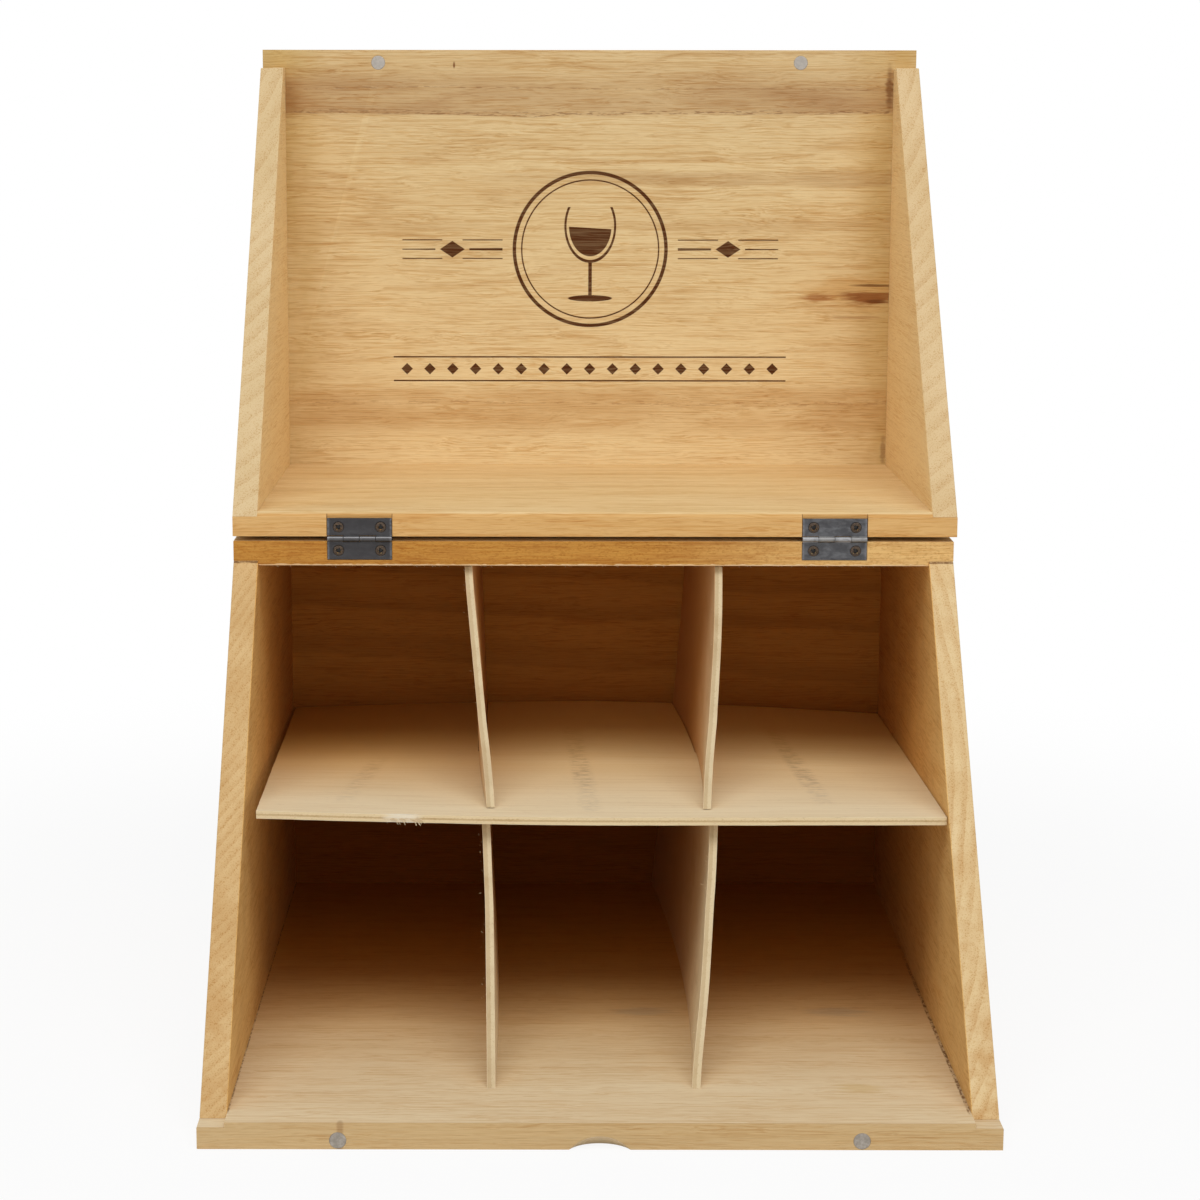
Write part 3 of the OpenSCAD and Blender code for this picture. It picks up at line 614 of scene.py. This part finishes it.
# The rack's warp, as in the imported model
FRONT_WARP = {
    -1: ((0, 5.3), (0.36, 3.9), (0.5, 3.5), (0.6, 2.5), (0.76, -0.7), (1, -5.5)),
    1: ((0, -8.5), (0.18, -4), (0.36, -1), (0.6, 0.2), (0.76, 2.8), (0.86, 4.5), (1, 5.6)),
}
BACK_WARP = {-1: ((0, 0.7), (0.5, -1.7), (1, -5)), 1: ((0, -12), (0.5, -2.9), (0.76, 0.5), (1, 2.6))}
BOW = {-1: ((0, 2), (0.5, -1.5), (1, -0.5)), 1: ((0, 5), (0.5, 3), (1, 0))}
SPLIT = {-1: 1.0, 1: -1.4}
SHELF_ENDS = {-1: (2.6, -3.2), 1: (0.3, -5.6)}


def lerp(a, b, share):
    return a + (b - a) * share


def along(stops, place):
    k = min(int(place), len(stops) - 2)
    return lerp(stops[k], stops[k + 1], place - k)


def soft(stops, share):
    """The table's value, with its kinks rounded off."""
    where = share + np.linspace(-0.05, 0.05, 5)
    return float(np.interp(where, *zip(*stops)).mean())


def front_y(z):
    return lerp(FOOT_Y, HEAD_Y, (z - RACK_LOW) / (RACK_TOP - RACK_LOW))


def split(side, y, z):
    above = z - SHELF_Z + PLY / 2
    reach = max(0.0, (LAP - y) / (LAP - front_y(z)))
    return math.copysign(1.0, above) * SPLIT[side] * max(0.0, 1 - abs(above) / 30.0) * reach * reach


def divider_x(side, y, z):
    share = (z - RACK_LOW) / (RACK_TOP - RACK_LOW)
    v = (y - front_y(z)) / (RACK_BACK - front_y(z))
    front, back, bow = (soft(table[side], share) for table in (FRONT_WARP, BACK_WARP, BOW))
    return side * INSIDE / 3 + lerp(front, back, v) + bow * 4 * v * (1 - v) + split(side, y, z)


def shelf_top(x, y):
    v = max(0.0, (y - SHELF_FRONT) / (RACK_BACK - SHELF_FRONT))
    end = SHELF_ENDS[-1 if x < 0 else 1]
    return SHELF_Z - 2.7 * v ** 1.2 + lerp(*end, v) * abs(x / INSIDE) ** 1.5


def crossing_x(side, y):
    return divider_x(side, y, shelf_top(side * INSIDE / 3, y) - PLY / 2)


def grid_stops(*steps):
    """Grid stops from 0 on, with the given number of steps in each unit."""
    return [k + i / n for k, n in enumerate(steps) for i in range(n)] + [float(len(steps))]


def sheet_mesh(name, us, vs, point, kept, across, rough=0.1, layers=6):
    """A warped sheet with a skin on each side. kept(u, v) says which cells it has, point(u, v, t) is
    a place at share t of the thickness, and across are the directions of u and v in space."""
    index, places, plies, faces = {}, [], [], []
    nu, nv = len(us) - 1, len(vs) - 1

    def has(i, j):
        return 0 <= i < nu and 0 <= j < nv and kept((us[i] + us[i + 1]) / 2, (vs[j] + vs[j + 1]) / 2)

    def outward(i, j):
        push = Vector((0, 0, 0))
        for di, dj in ((-1, -1), (-1, 0), (0, -1), (0, 0)):
            if not has(i + di, j + dj):
                push += across[0] * (2 * di + 1) + across[1] * (2 * dj + 1)
        return push.normalized() if push.length > 0.1 else push

    def at(i, j, k):
        if (i, j, k) not in index:
            place = Vector(point(us[i], vs[j], k / layers))
            if 0 < k < layers:
                grit = noise.noise(place * 1.3 + Vector((0, 0, 7.0 * k))) + 0.6 * noise.noise(place * 0.23)
                place += outward(i, j) * min(rough, rough * grit)
            index[i, j, k] = len(places)
            places.append((place + Vector((0, ROW_Y, 0))) * MM)
            plies.append(k / layers)
        return index[i, j, k]

    for i in range(nu):
        for j in range(nv):
            if not has(i, j):
                continue
            faces.append([at(i, j, 0), at(i + 1, j, 0), at(i + 1, j + 1, 0), at(i, j + 1, 0)])
            faces.append([at(i, j + 1, layers), at(i + 1, j + 1, layers), at(i + 1, j, layers), at(i, j, layers)])
            for near, a, b in (((i, j - 1), (i, j), (i + 1, j)), ((i + 1, j), (i + 1, j), (i + 1, j + 1)),
                               ((i, j + 1), (i + 1, j + 1), (i, j + 1)), ((i - 1, j), (i, j + 1), (i, j))):
                if not has(*near):
                    for k in range(layers):
                        faces.append([at(*a, k), at(*a, k + 1), at(*b, k + 1), at(*b, k)])
    mesh = bpy.data.meshes.new(name)
    mesh.from_pydata(places, [], faces)
    mesh.attributes.new("ply", "FLOAT", "POINT").data.foreach_set("value", plies)
    mesh.shade_smooth()
    mesh.set_sharp_from_angle(angle=math.radians(40.0))
    return mesh


def ragged(value, place, size, reach):
    return value + reach * noise.noise(Vector((place / size, 3.7, reach)))


def shelf_point(u, v, t):
    y = along((SHELF_FRONT, LAP, RACK_BACK), v)
    left, right = crossing_x(-1, y), crossing_x(1, y)
    half = PLY / 2 + SLOT_CLEAR
    far_left = -INSIDE + 4.4 - 3.0 * (y - SHELF_FRONT) / (RACK_BACK - SHELF_FRONT)
    x = along((far_left, left - half, left + half, right - half, right + half, INSIDE - 0.3), u)
    top = shelf_top(x, y)
    if v == 0:
        y = ragged(y, x, 6.0, 0.25)
    if u == 0:
        x = ragged(x, y, 5.0, 0.2)
    return x, y, top - PLY * t


def shelf_kept(u, v):
    return not (v > 1 and (1 < u < 2 or 3 < u < 4))


def divider_point(side):
    def point(u, v, t):
        near = along((RACK_LOW, SHELF_Z - PLY, SHELF_Z, RACK_TOP), v)
        y = along((front_y(near), LAP, RACK_BACK), u)
        top = shelf_top(side * INSIDE / 3, y)
        z = along((RACK_LOW, top - PLY - SLOT_CLEAR, top + SLOT_CLEAR, RACK_TOP), v)
        x = divider_x(side, y, z) + PLY * (0.5 - t)
        if u == 0:
            y = ragged(y, z, 4.0, 0.3)
        return x, y, z
    return point


def divider_kept(u, v):
    return not (1 < v < 2 and u < 1)


shelf = sheet_mesh("shelf", grid_stops(30, 3, 30, 3, 30), grid_stops(34, 30), shelf_point, shelf_kept,
                   (Vector((1, 0, 0)), Vector((0, 1, 0))))
finish_piece("shelf_sheet", shelf, plywood("shelf_ply", "x", 21.0, shelf_marks), "box", ["shelf"])
for side, label in ((-1, "left"), (1, "right")):
    mesh = sheet_mesh(label + "_divider", grid_stops(44, 30), grid_stops(34, 2, 34), divider_point(side),
                      divider_kept, (Vector((0, 1, 0)), Vector((0, 0, 1))), 0.16)
    veneer = plywood(label + "_divider_ply", "z", 24.0 + side, divider_marks, (0.48, 0.96), (0.56, 0.39, 0.20))
    finish_piece(label + "_divider_sheet", mesh, veneer, "box", [label + "_divider"])


# What repeats: screws and torn fibres
class Growth(Tree):
    """A Geometry Nodes tree, run on an object once for its mesh."""

    def __init__(self, name, inputs):
        super().__init__(bpy.data.node_groups.new(name, "GeometryNodeTree"))
        face = self.tree.interface
        face.new_socket("Geometry", in_out="INPUT", socket_type="NodeSocketGeometry")
        face.new_socket("Geometry", in_out="OUTPUT", socket_type="NodeSocketGeometry")
        self.keys = {name: face.new_socket(name, in_out="INPUT", socket_type=kind).identifier
                     for name, kind in inputs.items()}
        source = self.tree.nodes.new("NodeGroupInput")
        self.given = {name: Field(self.tree, source.outputs[name]) for name in ("Geometry", *inputs)}

    def finish(self, geometry):
        whole = self.node("GeometryNodeRealizeInstances", {}, {"Geometry": geometry})
        whole = self.node("GeometryNodeSetMaterial", {}, {"Geometry": whole, "Material": self.given["Material"]})
        out = self.tree.nodes.new("NodeGroupOutput")
        self.tree.links.new(whole.socket, out.inputs[0])

    def grow(self, places, edges, **values):
        """The mesh that the tree makes on points or a path given in metres."""
        seeds = bpy.data.meshes.new("seeds")
        seeds.from_pydata([tuple(p) for p in places], edges, [])
        work = bpy.data.objects.new("work", seeds)
        bpy.context.scene.collection.objects.link(work)
        modifier = work.modifiers.new("Growth", "NODES")
        modifier.node_group = self.tree
        for name, value in values.items():
            modifier[self.keys[name.replace("_", " ")]] = value
        return baked(work)


def screw_tree():
    g = Growth("cross_screws", {
        "Head": "NodeSocketFloat", "Shank": "NodeSocketFloat", "Length": "NodeSocketFloat",
        "Recess": "NodeSocketFloat", "Seed": "NodeSocketInt", "Material": "NodeSocketMaterial"})
    head, shank, length, recess = (g.given[k] for k in ("Head", "Shank", "Length", "Recess"))
    point = lambda x, y, z: g.node("ShaderNodeCombineXYZ", {}, {0: x, 1: y, 2: z})
    move = lambda shape, by, size=(1.0, 1.0, 1.0): g.node(
        "GeometryNodeTransform", {}, {"Geometry": shape, "Translation": by, "Scale": size})
    flare = (head - shank) / 2.0
    cone = g.node("GeometryNodeMeshCone", {}, {"Vertices": 48, "Radius Top": head / 2.0, "Radius Bottom": shank / 2.0,
                                               "Depth": flare})
    cone = move(cone, point(0.0, 0.0, -flare))
    stem = g.node("GeometryNodeMeshCylinder", {}, {"Vertices": 24, "Radius": shank / 2.0, "Depth": length})
    stem = move(stem, point(0.0, 0.0, -length / 2.0 - flare / 2.0))
    dome = g.node("GeometryNodeMeshUVSphere", {}, {"Segments": 48, "Rings": 24, "Radius": head * 0.49})
    dome = move(dome, (0.0, 0.0, -0.00006), (1.0, 1.0, 0.12))
    slots = [g.node("GeometryNodeMeshCube", {}, {"Size": point(*size)}) for size in (
        (recess, recess * 0.28, recess), (recess * 0.28, recess, recess), (recess * 0.5, recess * 0.5, recess * 0.8))]
    cross = g.node("GeometryNodeMeshBoolean", {"operation": "UNION", "solver": "EXACT"})
    body = g.node("GeometryNodeMeshBoolean", {"operation": "UNION", "solver": "EXACT"})
    for made, parts in ((cross, slots), (body, (cone, stem, dome))):
        for part in parts:
            g.tree.links.new(part.socket, made.socket.node.inputs["Mesh 2"])
    cut = g.node("GeometryNodeMeshBoolean", {"operation": "DIFFERENCE", "solver": "EXACT"},
                 {"Mesh 1": body, "Mesh 2": cross})
    turn = g.node("FunctionNodeRandomValue", {"data_type": "FLOAT"},
                  {2: 0.0, 3: 1.57, "Seed": g.given["Seed"]}, output=1)
    spin = g.node("FunctionNodeRotateRotation", {"rotation_space": "LOCAL"}, {
        0: g.node("FunctionNodeEulerToRotation", {}, {0: (math.radians(90.0), 0.0, 0.0)}),
        1: g.node("FunctionNodeEulerToRotation", {}, {0: point(0.0, 0.0, turn)})})
    g.finish(g.node("GeometryNodeInstanceOnPoints", {}, {
        "Points": g.given["Geometry"], "Instance": cut, "Rotation": spin}))
    return g


def fibre_tree():
    g = Growth("torn_fibres", {"Count": "NodeSocketInt", "Length": "NodeSocketFloat", "Thickness": "NodeSocketFloat",
                               "Lean": "NodeSocketVector", "Spread": "NodeSocketFloat", "Seed": "NodeSocketInt",
                               "Material": "NodeSocketMaterial"})
    seed = g.given["Seed"]
    path = g.node("GeometryNodeMeshToCurve", {}, {"Mesh": g.given["Geometry"]})
    evenly = g.node("GeometryNodeCurveToPoints", {"mode": "COUNT"}, {"Curve": path, "Count": g.given["Count"]})
    jog = g.node("FunctionNodeRandomValue", {"data_type": "FLOAT_VECTOR"},
                 {0: (-0.0015, -0.0002, -0.0002), 1: (0.0015, 0.0002, 0.0002), "Seed": seed + 7.0})
    points = g.node("GeometryNodeSetPosition", {}, {"Geometry": evenly, "Offset": jog})
    hair = g.node("GeometryNodeCurvePrimitiveLine", {}, {"Start": (0.0, 0.0, 0.0), "End": (0.0, 0.0, 1.0)})
    hair = g.node("GeometryNodeResampleCurve", {}, {"Curve": hair, "Count": 6})
    t = g.node("GeometryNodeSplineParameter", output="Factor")
    bend = g.node("ShaderNodeCombineXYZ", {}, {0: t * t * 0.5, 1: t * t * t * -0.3})
    hair = g.node("GeometryNodeSetPosition", {}, {"Geometry": hair, "Offset": bend})
    hair = g.node("GeometryNodeSetCurveRadius", {}, {"Curve": hair, "Radius": 1.0 - t * 0.8})
    round_ = g.node("GeometryNodeCurvePrimitiveCircle", {}, {"Resolution": 4, "Radius": g.given["Thickness"]})
    hair = g.node("GeometryNodeCurveToMesh", {}, {"Curve": hair, "Profile Curve": round_, "Fill Caps": True})
    wild = g.node("FunctionNodeRandomValue", {"data_type": "FLOAT_VECTOR"},
                  {0: (-1.0, -1.0, -1.0), 1: (1.0, 1.0, 1.0), "Seed": seed})
    wild = g.node("ShaderNodeVectorMath", {"operation": "SCALE"}, {0: wild, "Scale": g.given["Spread"]})
    aim = g.node("ShaderNodeVectorMath", {"operation": "ADD"}, {0: g.given["Lean"], 1: wild})
    turn = g.node("FunctionNodeAlignRotationToVector", {"axis": "Z"}, {"Vector": aim})
    reach = g.node("FunctionNodeRandomValue", {"data_type": "FLOAT"}, {2: 0.0, 3: 1.0, "Seed": seed + 3.0}, output=1)
    size = g.given["Length"] * (0.25 + 0.75 * reach * reach)
    g.finish(g.node("GeometryNodeInstanceOnPoints", {}, {
        "Points": points, "Instance": hair, "Rotation": turn,
        "Scale": g.node("ShaderNodeCombineXYZ", {}, {0: size, 1: size, 2: size})}))
    return g


screws = screw_tree()
for n, (side, body) in enumerate((s, b) for s in ("left", "right") for b in ("box", "lid")):
    low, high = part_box(f"{side}_{body}_screws")
    heads = [(x, low.y, (low.z + high.z) / 2) for x in (low.x + 0.002, high.x - 0.002)]
    mesh = screws.grow(heads, [], Head=0.004, Shank=0.002, Length=0.006, Recess=0.0025, Seed=n + 4, Material=bronze)
    mesh.set_sharp_from_angle(angle=math.radians(30.0))
    finish_piece(f"{side}_{body}_cross_screws", mesh, bronze, body, [f"{side}_{body}_screws"])


def fibre_finish():
    f = Finish("torn_fibre")
    tone = f.cloud((2.0, 2.0, 2.0), 2.0, 0.5, 40.0)
    return f.shade(f.mix(tone, (0.84, 0.70, 0.48), (0.66, 0.48, 0.26)), 0.7 + 0.1 * tone)


fibre = fibre_finish()
fray = fibre_tree()


def frayed(name, path, body, count, length, lean, spread=0.6, thickness=0.03, seed=1):
    """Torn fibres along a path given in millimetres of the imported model's frame."""
    places = [Vector(p) * MM for p in path]
    mesh = fray.grow(places, [(i, i + 1) for i in range(len(places) - 1)], Count=count, Length=length * MM,
                     Thickness=thickness, Lean=lean, Spread=spread, Seed=seed, Material=fibre)
    mesh.shade_smooth()
    finish_piece(name, mesh, fibre, body)


def shelf_edge(x0, x1, drop, n=12):
    return [(x, SHELF_FRONT + ROW_Y + 0.1, shelf_top(x, SHELF_FRONT) - drop) for x in np.linspace(x0, x1, n)]


def divider_edge(side, z0, z1, across, n=24):
    return [(divider_x(side, front_y(z), z) + across, front_y(z) + ROW_Y + 0.2, z) for z in np.linspace(z0, z1, n)]


frayed("shelf_tear", shelf_edge(-78, -66, 1.6), "box", 46, 3.2, (1.0, -0.5, -0.1), 0.35, 0.035, 3)
frayed("shelf_fray", shelf_edge(-120, 120, 1.5, 60), "box", 60, 0.9, (0.3, -1.0, 0.0), 0.7, 0.05, 5)
for side, label in ((-1, "left"), (1, "right")):
    frayed(label + "_lower_fray", divider_edge(side, 12, 92, -1.5), "box", 90, 1.1,
           (-1.0, -0.5, 0.1), 0.7, 0.05, 11 + side)
    frayed(label + "_upper_fray", divider_edge(side, 98, 177, -1.5), "box", 60, 0.8,
           (-1.0, -0.5, 0.1), 0.7, 0.05, 15 + side)
low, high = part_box("top_board")
under = [(x, low.y / MM + 0.3, low.z / MM + 0.05) for x in np.linspace(-128, 128, 60)]
frayed("top_board_fray", under, "box", 240, 0.8, (0.6, -0.3, -0.6), 0.8, 0.05, 21)


# Stage, lights and camera
def stage_floor():
    f = Finish("pale_floor")
    distance = (f.x * f.x + f.y * f.y).root()
    glow = f.node("ShaderNodeEmission", {}, {"Color": (1.0, 1.0, 1.0), "Strength": 1.0})
    matte = f.node("ShaderNodeBsdfDiffuse", {}, {"Color": (0.86, 0.86, 0.86)})
    seen = f.node("ShaderNodeLightPath", output="Is Camera Ray")
    seen = seen.most(f.node("ShaderNodeLightPath", output="Is Glossy Ray"))
    seen = seen.most(f.node("ShaderNodeLightPath", output="Is Transmission Ray"))
    share = (0.88 + 0.12 * distance.ease(260.0, 700.0)) * seen
    f.node_out(f.node("ShaderNodeMixShader", {}, {0: share, 1: matte, 2: glow}))
    form = bmesh.new()
    bmesh.ops.create_circle(form, cap_ends=True, segments=96, radius=4.0)
    mesh = bpy.data.meshes.new("floor")
    form.to_mesh(mesh)
    form.free()
    mesh.materials.append(f.material)
    floor = bpy.data.objects.new("floor", mesh)
    bpy.context.scene.collection.objects.link(floor)


def softbox(name, place, aim, size, power):
    light = bpy.data.lights.new(name, "AREA")
    light.shape = "RECTANGLE"
    light.size, light.size_y = size
    light.energy = power
    lamp = bpy.data.objects.new(name, light)
    lamp.location = place
    lamp.rotation_euler = (Vector(aim) - Vector(place)).to_track_quat("-Z", "Y").to_euler()
    bpy.context.scene.collection.objects.link(lamp)


def world_light(level):
    world = bpy.data.worlds.new("studio")
    bpy.context.scene.world = world
    world.use_nodes = True
    tree = world.node_tree
    tree.nodes.clear()
    path = tree.nodes.new("ShaderNodeLightPath")
    seen = Field(tree, path.outputs["Is Camera Ray"]).most(Field(tree, path.outputs["Is Glossy Ray"]))
    seen = seen.most(Field(tree, path.outputs["Is Transmission Ray"]))
    back = tree.nodes.new("ShaderNodeBackground")
    fill(tree, back.inputs["Color"], (1.0, 1.0, 1.0))
    fill(tree, back.inputs["Strength"], level + (1.0 - level) * seen)
    out = tree.nodes.new("ShaderNodeOutputWorld")
    tree.links.new(back.outputs[0], out.inputs["Surface"])


def camera():
    """The photograph's camera, solved from the box's corners in a 1200 by 1200 frame."""
    focal, centre = 2982.54, (527.36, 649.39)
    pitch, yaw, roll = 0.18693, -0.002, 0.001
    ahead = Vector((math.sin(yaw) * math.cos(pitch), math.cos(yaw) * math.cos(pitch), -math.sin(pitch)))
    right = Vector((math.cos(yaw), -math.sin(yaw), 0.0))
    up = right.cross(ahead)
    right, up = right * math.cos(roll) + up * math.sin(roll), up * math.cos(roll) - right * math.sin(roll)
    lens = bpy.data.cameras.new("camera")
    lens.sensor_fit = "HORIZONTAL"
    lens.sensor_width = 36.0
    lens.lens = focal * 36.0 / 1200.0
    lens.shift_x = (600.0 - centre[0]) / 1200.0
    lens.shift_y = (centre[1] - 600.0) / 1200.0
    view = bpy.data.objects.new("camera", lens)
    view.matrix_world = Matrix.Translation((-0.02336, -1.14911, 0.36316)) @ Matrix(
        (right, up, -ahead)).transposed().to_4x4()
    bpy.context.scene.collection.objects.link(view)
    bpy.context.scene.camera = view


stage_floor()
softbox("softbox_top", (0.0, -1.15, 2.0), (0.0, 0.0, 0.15), (2.4, 1.3), 27.0)
softbox("softbox_front", (0.0, -2.6, 0.75), (0.0, 0.0, 0.2), (3.2, 1.6), 8.5)
world_light(0.45)
camera()
bpy.context.scene.view_settings.view_transform = "Standard"
